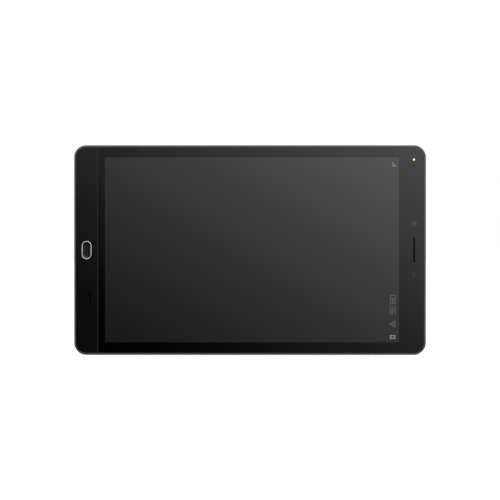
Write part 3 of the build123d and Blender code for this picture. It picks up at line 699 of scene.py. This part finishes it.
def onGlass(name, x, z, radius, rise=windowLift, hollow=0.0):
    if hollow:
        profile = [(radius, windowFoot), (radius - 0.03 * mm, faceY - rise),
                   (hollow + 0.03 * mm, faceY - rise), (hollow, windowFoot)]
        return turned(name, x, z, profile, ring=True)
    profile = [(radius, windowFoot), (radius - 0.03 * mm, faceY - rise)]
    return turned(name, x, z, profile)


def centreOf(node):
    lowest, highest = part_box(node)
    return (lowest.x + highest.x) / 2, (lowest.z + highest.z) / 2


windows = {"lamp": 0.64, "light": 0.72, "near": 0.55, "nearApart": 1.15}
eye = {"ring": 1.72, "lens": 1.12, "pupil": 0.42}
eyeX, eyeZ = centreOf("front_camera")
eyeRing = onGlass("front_camera_ring", eyeX, eyeZ, eye["ring"] * mm, hollow=(eye["lens"] + 0.08) * mm)
dress(eyeRing, "eyeTint")
eyeLens = turned("front_camera_lens", eyeX, eyeZ, [
    (eye["lens"] * mm, windowFoot), (eye["lens"] * mm, faceY - 0.01 * mm),
    (eye["lens"] * 0.8 * mm, faceY - 0.015 * mm), (eye["pupil"] * mm, faceY - 0.018 * mm)])
dress(eyeLens, "eyeTint")
pupil = onGlass("front_camera_pupil", eyeX, eyeZ, eye["pupil"] * mm, rise=0.021 * mm)
dress(pupil, "lensCoating")
ledX, ledZ = centreOf("status_led")
dress(onGlass("status_lamp", ledX, ledZ, windows["lamp"] * mm), "ledGlow")
lightX, lightZ = centreOf("light_sensor")
lightWindow = onGlass("light_sensor_window", lightX, lightZ, windows["light"] * mm)
dress(lightWindow, "sensorWindow")
nearX, nearZ = centreOf("proximity_sensor")
nearDots = [onGlass("dot", nearX, nearZ + side * windows["nearApart"] * mm, windows["near"] * mm)
            for side in (-1, 1)]
dress(joined("proximity_windows", nearDots), "blackMoulding")
print("front sensors done")

# Status marks on the display, upright when the tablet is held with the cameras on top
marks = {
    "stroke": 0.4, "digitHigh": 2.9, "digitWide": 1.9, "digitGap": 0.85, "time": "08:36",
    "footInset": 5.0, "timeStart": 34.6, "lift": 0.02,
    "signal": [(81.3, 17.95), (84.4, 16.1), (84.4, 19.5)], "signalStroke": 0.36,
    "cellX": (81.8, 84.3), "cellZ": (9.55, 11.1), "cellStroke": 0.7,
    "notice": [(82.8, 112.3), (83.4, 112.3), (83.9, 111.0), (85.3, 109.9), (85.2, 109.4), (82.8, 109.4)],
}


# A flat bar between two points on the screen
def bar(name, start, end, stroke):
    a, b = Vector(start), Vector(end)
    along = (b - a).normalized() * stroke / 2
    side = Vector((-along.y, along.x))
    corners = [a - along - side, b + along - side, b + along + side, a - along + side]
    return flatShape(name, [(c.x, c.y) for c in corners], faceY)


def flatShape(name, corners, y, thick=marks["lift"] * mm):
    count = len(corners)
    verts = [(x, y - thick, z) for x, z in corners] + [(x, y + 0.01 * mm, z) for x, z in corners]
    faces = [tuple(range(count)), tuple(range(2 * count - 1, count - 1, -1))]
    faces += [(i, i + count, (i + 1) % count + count, (i + 1) % count) for i in range(count)]
    return makePiece(name, verts, faces)


def glowFinish(name, level):
    finish = Finish(name)
    shade = finish.noise(1.5 * mm, 2) * 0.2 + 0.9
    colour = finish.mix(1.0, (level, level, level, 1), shade, "MULTIPLY")
    return finish.surface({
        "Base Color": (0.001, 0.001, 0.001, 1),
        "Roughness": 0.05,
        "Emission Color": colour,
        "Emission Strength": 1.0,
    })


materials["markBright"] = glowFinish("markBright", 0.21)
materials["markWarm"] = glowFinish("markWarm", 0.12)
materials["markDim"] = glowFinish("markDim", 0.1)
materials["markFaint"] = glowFinish("markFaint", 0.05)

segments = {"0": "abcdef", "3": "abgcd", "6": "afgedc", "8": "abcdefg"}


# One numeral of straight strokes. Its own up is +X, and its own right is -Z
def numeral(digit, footX, leftZ):
    wide, tall, stroke = marks["digitWide"] * mm, marks["digitHigh"] * mm, marks["stroke"] * mm
    ends = {
        "a": ((0, tall), (wide, tall)), "b": ((wide, tall), (wide, tall / 2)),
        "c": ((wide, tall / 2), (wide, 0)), "d": ((wide, 0), (0, 0)), "e": ((0, 0), (0, tall / 2)),
        "f": ((0, tall / 2), (0, tall)), "g": ((0, tall / 2), (wide, tall / 2)),
    }
    made = []
    for letter in segments[digit]:
        (u0, v0), (u1, v1) = ends[letter]
        made.append(bar("stroke", (footX + v0, leftZ - u0), (footX + v1, leftZ - u1), stroke))
    return made


markX = screenX[1] - marks["footInset"] * mm
strokes = []
cursor = marks["timeStart"] * mm
for sign in marks["time"]:
    if sign == ":":
        for height in (0.3, 0.7):
            dotX = markX + marks["digitHigh"] * height * mm
            strokes.append(bar("stroke", (dotX, cursor), (dotX, cursor - 0.05 * mm), marks["stroke"] * mm))
        cursor -= marks["digitGap"] * mm
    else:
        strokes += numeral(sign, markX, cursor)
        cursor -= (marks["digitWide"] + marks["digitGap"]) * mm
dress(joined("clock_marks", strokes), "markDim")


# Bars from each corner to the next, round to the first again
def barsRound(name, corners, stroke):
    corners = [(x * mm, z * mm) for x, z in corners]
    return [bar(name, start, end, stroke * mm) for start, end in zip(corners, corners[1:] + corners[:1])]


dress(joined("signal_mark", barsRound("side", marks["signal"], marks["signalStroke"])),
      "markDim")
insideOf = [((x * 0.68 + 83.4 * 0.32) * mm, (z * 0.68 + 17.9 * 0.32) * mm) for x, z in marks["signal"]]
dress(flatShape("signal_mark_inside", insideOf, faceY, 0.01 * mm), "markFaint")
cellCorners = [(marks["cellX"][i], marks["cellZ"][j]) for i, j in ((0, 0), (1, 0), (1, 1), (0, 1))]
dress(joined("battery_mark", barsRound("stroke", cellCorners, marks["cellStroke"])),
      "markBright")
notice = flatShape("notice_mark", [(x * mm, z * mm) for x, z in marks["notice"]], faceY)
dress(notice, "markWarm")

# An unlit touch key beside the home button: a thin outline, heavier on the screen's side
touchKey = {"x": (-97.8, -92.9), "z": (29.4, 38.2), "corner": 1.2, "line": 0.2, "heavyLine": 0.8,
            "endGap": 0.4, "lift": 0.01}
keyLift = touchKey["lift"] * mm
keyXs = [x * mm for x in touchKey["x"]]
keyZs = [z * mm for z in touchKey["z"]]
outlineProfile = [(0, faceY + keyLift), (0, faceY - keyLift), (touchKey["line"], faceY - keyLift),
                  (touchKey["line"], faceY + keyLift)]
outline = joinLoops("outline", [roundedLoop(keyXs, keyZs, [touchKey["corner"] * mm] * 4, inset * mm, y)
                                for inset, y in outlineProfile], ring=True)
heavy = roundedSlab("heavy", (keyXs[1] - touchKey["heavyLine"] * mm, keyXs[1]),
                    (keyZs[0] + touchKey["endGap"] * mm, keyZs[1] - touchKey["endGap"] * mm), [0.2 * mm] * 4,
                    [(0.06, faceY - keyLift * 2), (0.02, faceY - keyLift), (0, faceY + keyLift)])
dress(joined("touch_key_marks", [outline, heavy]), "keyInk")
print("display marks done")

# Ribbed rear cover
ribs = {"pitch": 1.415, "count": 122, "width": 0.7, "depth": 0.3, "startZ": 2.6, "endZ": 119.4,
        "edge": 0.15}


# A closed slab whose outer face has a line of points at each change of slope of a groove
def ribBlank(name):
    coverLow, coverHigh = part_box("rear_cover")
    middle = (coverLow.x + coverHigh.x) / 2
    half = ribs["width"] / 2
    steps = [-half - 0.08, -half, -half * 0.7, -half * 0.45, half * 0.45, half * 0.7, half, half + 0.08]
    columns = [coverLow.x, coverLow.x + ribs["edge"] * mm]
    for index in range(ribs["count"]):
        centre = middle + (index - (ribs["count"] - 1) / 2) * ribs["pitch"] * mm
        columns += [centre + step * mm for step in steps]
    columns += [coverHigh.x - ribs["edge"] * mm, coverHigh.x]
    fade = [0, 0.12, 0.25, 0.4, 0.6]
    rows = [coverLow.z, coverLow.z + ribs["edge"] * mm]
    rows += [(ribs["startZ"] + step) * mm for step in fade]
    rows += [(ribs["endZ"] - step) * mm for step in reversed(fade)]
    rows += [coverHigh.z - ribs["edge"] * mm, coverHigh.z]
    wide, tall = len(columns), len(rows)
    verts = []
    for r, z in enumerate(rows):
        for c, x in enumerate(columns):
            atEdge = r in (0, tall - 1) or c in (0, wide - 1)
            verts.append((x, coverHigh.y - (ribs["edge"] * mm if atEdge else 0), z))
    faces = [(r * wide + c, r * wide + c + 1, (r + 1) * wide + c + 1, (r + 1) * wide + c)
             for r in range(tall - 1) for c in range(wide - 1)]
    border = list(range(wide)) + [r * wide + wide - 1 for r in range(1, tall)]
    border += [(tall - 1) * wide + c for c in range(wide - 2, -1, -1)]
    border += [r * wide for r in range(tall - 2, 0, -1)]
    below = len(verts)
    verts += [(verts[i][0], coverLow.y, verts[i][2]) for i in border]
    count = len(border)
    for i in range(count):
        j = (i + 1) % count
        faces.append((border[i], border[j], below + j, below + i))
    faces.append(tuple(range(below, below + count)))
    return makePiece(name, verts, faces)


# Sinks the grooves: how deep follows the distance from the nearest groove's middle and from its ends
def grooveTree():
    nodes = Nodes("grooves", {
        "Pitch": "NodeSocketFloat",
        "Count": "NodeSocketInt",
        "Width": "NodeSocketFloat",
        "Depth": "NodeSocketFloat",
        "Middle": "NodeSocketFloat",
        "Start": "NodeSocketFloat",
        "End": "NodeSocketFloat",
        "Top": "NodeSocketFloat",
        "Finish": "NodeSocketMaterial",
    })
    position = nodes.add("GeometryNodeInputPosition", {}, {})
    x, y, z = [nodes.add("ShaderNodeSeparateXYZ", {}, {0: position}, axis) for axis in "XYZ"]
    fromMiddle = x - nodes.given("Middle")
    half = nodes.given("Count") * nodes.given("Pitch") * 0.5
    phase = (fromMiddle + half) / nodes.given("Pitch")
    away = (phase.maths("FRACT") - 0.5).maths("ABSOLUTE") * nodes.given("Pitch")
    halfWidth = nodes.given("Width") * 0.5
    smooth = {"interpolation_type": "SMOOTHSTEP"}
    across = nodes.add("ShaderNodeMapRange", smooth, {
        "Value": away, "From Min": halfWidth, "From Max": halfWidth * 0.45, "To Min": 0.0, "To Max": 1.0})
    fromEnd = (z - nodes.given("Start")).maths("MINIMUM", nodes.given("End") - z)
    lengthwise = nodes.add("ShaderNodeMapRange", smooth, {
        "Value": fromEnd, "From Min": 0.0, "From Max": nodes.given("Width"), "To Min": 0.0, "To Max": 1.0})
    inside = fromMiddle.maths("ABSOLUTE") < half
    onTop = y > nodes.given("Top") - 0.00001
    depth = nodes.given("Depth") * across * lengthwise * inside * onTop
    sink = nodes.add("ShaderNodeCombineXYZ", {}, {"Y": depth * -1.0})
    shaped = nodes.add("GeometryNodeSetPosition", {}, {"Geometry": nodes.given("Geometry"), "Offset": sink})
    nodes.finish(shaped)
    return nodes


coverLow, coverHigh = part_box("rear_cover")
ribbed = ribBlank("rear_cover_ribbed")
grooveTree().bake(ribbed, {
    "Pitch": ribs["pitch"] * mm,
    "Count": ribs["count"],
    "Width": ribs["width"] * mm,
    "Depth": ribs["depth"] * mm,
    "Middle": (coverLow.x + coverHigh.x) / 2,
    "Start": ribs["startZ"] * mm,
    "End": ribs["endZ"] * mm,
    "Top": coverHigh.y,
    "Finish": materials["coverPlastic"],
})
dress(ribbed, "coverPlastic", stands=["rear_cover"])
print("ribbed cover done")

# Rear camera island
island = {"rimWidth": 0.36, "lensHole": 2.35, "flashHole": 1.4, "flashDrop": 0.1, "flashRadius": 1.38,
          "flashSteps": 5}
bezelLow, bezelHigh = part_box("camera_bezel")
paneLow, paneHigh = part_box("camera_window")
islandX, islandZ = centreOf("camera_bezel")
bezelSize = (bezelHigh.z - bezelLow.z, bezelHigh.x - bezelLow.x)
bezelTop = bezelHigh.y
bezelIn = (bezelSize[1] - (paneHigh.x - paneLow.x)) / 2 / mm
rim = island["rimWidth"]
bezelProfile = [(0, bezelLow.y), (0, bezelTop - 0.25 * mm), (0.08, bezelTop - 0.08 * mm), (0.16, bezelTop),
                (rim, bezelTop), (rim + 0.06, bezelTop - 0.04 * mm), (rim + 0.06, bezelLow.y)]
bezel = pillRing("camera_island_ring", islandX, islandZ, bezelSize, bezelProfile)
dress(bezel, "darkBezel", stands=["camera_bezel"])
sleeveProfile = [(rim + 0.05, bezelLow.y), (rim + 0.05, bezelTop - 0.06 * mm),
                 (bezelIn - 0.12, bezelTop - 0.16 * mm), (bezelIn, bezelTop - 0.3 * mm),
                 (bezelIn, bezelLow.y)]
sleeve = pillRing("camera_island_sleeve", islandX, islandZ, bezelSize, sleeveProfile)
dress(sleeve, "blackMoulding")

lensX, lensZ = centreOf("camera_lens")
flashX = lensX
flashLow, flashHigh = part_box("flash_lens")
flashZ = (flashLow.z + flashHigh.z) / 2 - island["flashDrop"] * mm
paneSize = (paneHigh.z - paneLow.z, paneHigh.x - paneLow.x)
pane = pillSlab("camera_window_pane", islandX, islandZ, paneSize,
                [(0, paneLow.y), (0, paneHigh.y - 0.06 * mm), (0.08, paneHigh.y)])
cutters = [turned(name, x, z, [(island[name] * mm, bezelLow.y), (island[name] * mm, bezelTop)])
           for name, x, z in (("lensHole", lensX, lensZ), ("flashHole", flashX, flashZ))]
cutWith(pane, cutters)
dress(pane, "windowBlack", stands=["camera_window"])

# Profiles of the lens: radius and height over the window, both in mm
top = paneHigh.y
barrelProfile = [(2.33, -0.9), (2.33, -0.04), (2.22, -0.01), (2.05, -0.03), (1.95, -0.12), (1.9, -0.2),
                 (1.55, -0.26), (1.5, -0.34), (1.15, -0.4), (1.1, -0.9)]
rimProfile = [(2.33, -0.05), (2.3, 0.015), (2.02, 0.015), (1.98, -0.06)]
domeProfile = [(1.12, -0.62), (1.0, -0.5), (0.8, -0.43), (0.55, -0.38), (0.28, -0.355), (0.05, -0.35)]
# The lighter disc at the lens centre is a painted highlight of the front element
highlightDiscProfile = [(0.5, -0.4), (0.46, -0.33), (0.2, -0.32)]


def lensPart(name, profile, **options):
    return turned(name, lensX, lensZ, [(r * mm, top + lift * mm) for r, lift in profile], **options)


barrel = lensPart("lens_barrel", barrelProfile, ring=True, smoothAngle=25)
dress(barrel, "blackMoulding")
dress(lensPart("lens_rim", rimProfile, ring=True), "keyPlastic")
dome = lensPart("lens_front_element", domeProfile)
dress(dome, "lensCoating", stands=["camera_lens"])
dress(lensPart("lens_centre_highlight", highlightDiscProfile), "keyPlastic")

flashProfile = [(island["flashRadius"], flashLow.y)]
for ringIndex in range(island["flashSteps"]):  # stepped rings of the flash's lens
    outer = island["flashRadius"] - ringIndex * 0.22
    rise = top - 0.3 * mm + ringIndex * 0.03 * mm
    flashProfile += [(outer, rise - 0.04 * mm), (outer - 0.06, rise + 0.03 * mm)]
flashProfile.append((0.1, top - 0.12 * mm))
flashDome = turned("flash_front", flashX, flashZ, [(r * mm, y) for r, y in flashProfile], smoothAngle=20)
dress(flashDome, "clearFlash", stands=["flash_lens"])
print("rear camera done")

# Dock contacts
contacts = {"radius": 0.53, "pitch": 1.9, "outerRows": 7, "innerRows": 6}
block = weldedCopy("contact_block", "contact_block_body")
dress(block, "blackMoulding", stands=["contact_block"])
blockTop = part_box("contact_block")[1].y
dockX, dockZ = centreOf("contact_block")
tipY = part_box("dock_contacts")[1].y
pinWide = contacts["radius"]
pinProfile = [(pinWide, blockTop - 0.3 * mm), (pinWide, tipY - 0.16 * mm),
              (pinWide * 0.93, tipY - 0.08 * mm), (pinWide * 0.75, tipY - 0.02 * mm), (pinWide * 0.5, tipY),
              (pinWide * 0.35, tipY - 0.02 * mm), (0.04, tipY - 0.03 * mm)]


def pinField(name, columns, rows, columnStep):
    pin = turned(name, 0, 0, [(r * mm, y) for r, y in pinProfile], steps=20)
    return field.bake(pin, {
        "Centre": (dockX, 0, dockZ),
        "Columns": columns,
        "Rows": rows,
        "Column step": columnStep * mm,
        "Row step": contacts["pitch"] * mm,
        "Shift": 0.0,
        "Finish": materials["platedGold"],
    })


outerPins = pinField("outerPins", 2, contacts["outerRows"], 2 * contacts["pitch"])
innerPins = pinField("innerPins", 1, contacts["innerRows"], 0.0)
pins = joined("dock_contact_pins", [outerPins, innerPins])
dress(pins, "platedGold", stands=["dock_contacts"])
print("dock contacts done")

# Plain dashes where the printed lines are on the strip
dashes = {
    "seed": 7, "gap": 0.22, "shortest": 0.5, "longest": 1.5, "sink": 0.02,
    "lines": [(1.85, 96.5, 115.6, 1.0), (-0.2, 106.7, 115.4, 0.8), (-1.85, 106.7, 115.4, 0.8)],
}  # each line: its place across the strip, its start and end, and its height
draw = random.Random(dashes["seed"])
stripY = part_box("rear_band")[1].y
stripX = (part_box("camera_bezel")[0].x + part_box("camera_bezel")[1].x) / 2
lines = []
for offsetX, startZ, endZ, tall in dashes["lines"]:
    cursor = startZ
    while cursor < endZ - 0.4:
        run = min(draw.uniform(dashes["shortest"], dashes["longest"]), endZ - cursor)
        at = stripX + offsetX * mm
        half = tall * mm / 2
        ends = [(at - half, cursor * mm), (at + half, cursor * mm), (at + half, (cursor + run) * mm),
                (at - half, (cursor + run) * mm)]
        lines.append(flatShape("dash", ends, stripY - dashes["sink"] * mm, thick=-0.022 * mm))
        cursor += run + dashes["gap"]
labelPiece = joined("strip_dashes", lines)
dress(labelPiece, "sealRubber")
print("strip marks done")

# Plugs, keys, card tray and connector door
plugs = weldedCopy("cap_plugs", "cap_plug_ovals")
dress(plugs, "sealRubber", stands=["cap_plugs"])
for node, name, material, body, slotName in (
    ("power_button", "power_key", "keyPlastic", "power_button", "key_plastic"),
    ("volume_rocker", "volume_key", "keyPlastic", "volume_rocker", "key_plastic"),
    ("sim_tray", "card_tray", "cardTray", "sim_tray", "tray_metal"),
    ("usb_door", "connector_door", "sealRubber", "usb_door", "black_rubber"),
    ("usb_port", "connector_shell", "stampedSteel", "housing", "steel"),
):
    dress(weldedCopy(node, name), material, body=body, stands=[node])
print("side pieces done")

# Finishes of the CAD nodes that stay, by their material slot
slotFinish = {
    "frame_paint": "housingPaint", "chin_gloss": "chinGloss", "cap_plastic": "capPlastic",
    "cover_grey": "coverPlastic", "band_grey": "bandPlastic", "black_rubber": "sealRubber",
    "screen_glass": "windowBlack", "display_film": "displayFilm", "backlight": "reflectorFilm",
    "ribbon": "ribbonFilm", "bright_ring": "satinSilver", "button_black": "buttonGloss",
    "sensor_black": "sensorWindow", "led_lime": "ledGlow", "steel": "stampedSteel",
    "mesh_black": "blackWire", "bezel_metal": "darkBezel", "lens_glass": "lensCoating",
    "window_glass": "windowBlack", "flash_cream": "phosphor", "module_black": "blackMoulding",
    "contact_gold": "platedGold", "board_green": "boardMask", "chip_black": "chipEpoxy",
    "copper": "rolledCopper", "cell_wrap": "cellWrap", "key_plastic": "keyPlastic",
    "tray_metal": "cardTray", "patch_ceramic": "firedCeramic",
}
for entry in record["subparts"]:
    node = frame["nodes"][entry["node"]]
    node.data.materials.clear()
    node.data.materials.append(materials[slotFinish[entry["material_slot"]]])
print("CAD nodes finished")


# Floor, world and lights
def floorFinish():
    finish = Finish("studioFloor")
    cloud = finish.noise(0.4, 3)
    return finish.surface({
        "Base Color": finish.mix(1.0, (0.86, 0.86, 0.86, 1), cloud * 0.04 + 0.98, "MULTIPLY"),
        "Roughness": 0.85,
        "Emission Color": (1, 1, 1, 1),
        "Emission Strength": 0.5,
        "Normal": finish.bump(finish.noise(1.5 * mm, 2), 0.02 * mm),
    })


studio = {"floorHalf": 5.0, "floorZ": -0.0003, "keyPower": 3.2, "keySize": 0.5,
          "keyPlace": (0.55, -0.8, 0.75), "keyTarget": (0, 0, 0.06)}
reach = studio["floorHalf"]
floorCorners = [(x * reach, y * reach, studio["floorZ"]) for x, y in ((-1, -1), (1, -1), (1, 1), (-1, 1))]
floor = makePiece("floor", floorCorners, [(0, 1, 2, 3)], closed=False)
materials["studioFloor"] = floorFinish()
floor.data.materials.append(materials["studioFloor"])
floor.visible_glossy = False

light = {"panelX": 0.474, "panelY": -0.124, "panelZ": 0.78, "panelTop": 0.26, "panelGain": 25,
         "sheen": 0.5, "lampX": -0.92, "lampY": 0.39, "lampMirrored": 3.0, "lampSpread": 7.2,
         "backMirrored": 0.16, "backFill": 0.12, "ceiling": 0.75, "frontFill": 0.85}
world = bpy.data.worlds.new("studio")
bpy.context.scene.world = world
sky = Finish("studio", owner=world)
direction = sky.add("ShaderNodeTexCoord", {}, {}, "Generated")
across, depth, up = [sky.add("ShaderNodeSeparateXYZ", {}, {0: direction}, axis) for axis in "XYZ"]
# A large soft panel in front of the screen: bright to the upper right, dark to the lower left
rise = depth * light["panelY"] + across * light["panelX"] + up * light["panelZ"]
rise = rise.maths("MAXIMUM", 0.0).maths("MINIMUM", light["panelTop"])
panel = rise * rise * light["panelGain"] * sky.ramp(depth * -1, [(0.0, 0), (0.3, 1)])
sheen = sky.ramp(across * -1, [(0.4, 0), (0.85, 1)]) * sky.ramp(depth * -1, [(0.1, 0), (0.5, 1)])
# Behind the tablet a lamp stands low at its -X end, under a dim ceiling
lamp = sky.ramp(across * light["lampX"] + depth * light["lampY"], [(0.74, 0), (0.94, 1)])
behind = sky.ramp(depth, [(0.0, 0), (0.3, 1)])
mirrored = panel + sheen * light["sheen"] + lamp * light["lampMirrored"] + behind * light["backMirrored"]
isCamera = sky.add("ShaderNodeLightPath", {}, {}, "Is Camera Ray")
isGlossy = sky.add("ShaderNodeLightPath", {}, {}, "Is Glossy Ray")
ceiling = sky.ramp(up, [(0.3, 0), (0.9, 1)])
backSpread = ceiling * light["ceiling"] + light["backFill"]
spread = (1 - behind) * light["frontFill"] + behind * backSpread + lamp * light["lampSpread"]
isOther = (1 - isCamera - isGlossy).maths("MAXIMUM", 0.0)
brightness = isCamera + isGlossy * mirrored + isOther * spread
background = sky.add("ShaderNodeBackground", {}, {"Color": (1, 1, 1, 1), "Strength": brightness})
sky.add("ShaderNodeOutputWorld", {}, {"Surface": background})

keyData = bpy.data.lights.new("keyLight", "AREA")
keyData.size = studio["keySize"]
keyData.energy = studio["keyPower"]
key = bpy.data.objects.new("keyLight", keyData)
key.location = studio["keyPlace"]
aim = Vector(studio["keyTarget"]) - Vector(studio["keyPlace"])
key.rotation_euler = aim.to_track_quat("-Z", "Y").to_euler()
key.visible_camera = False
bpy.context.scene.collection.objects.link(key)
print("studio ready")
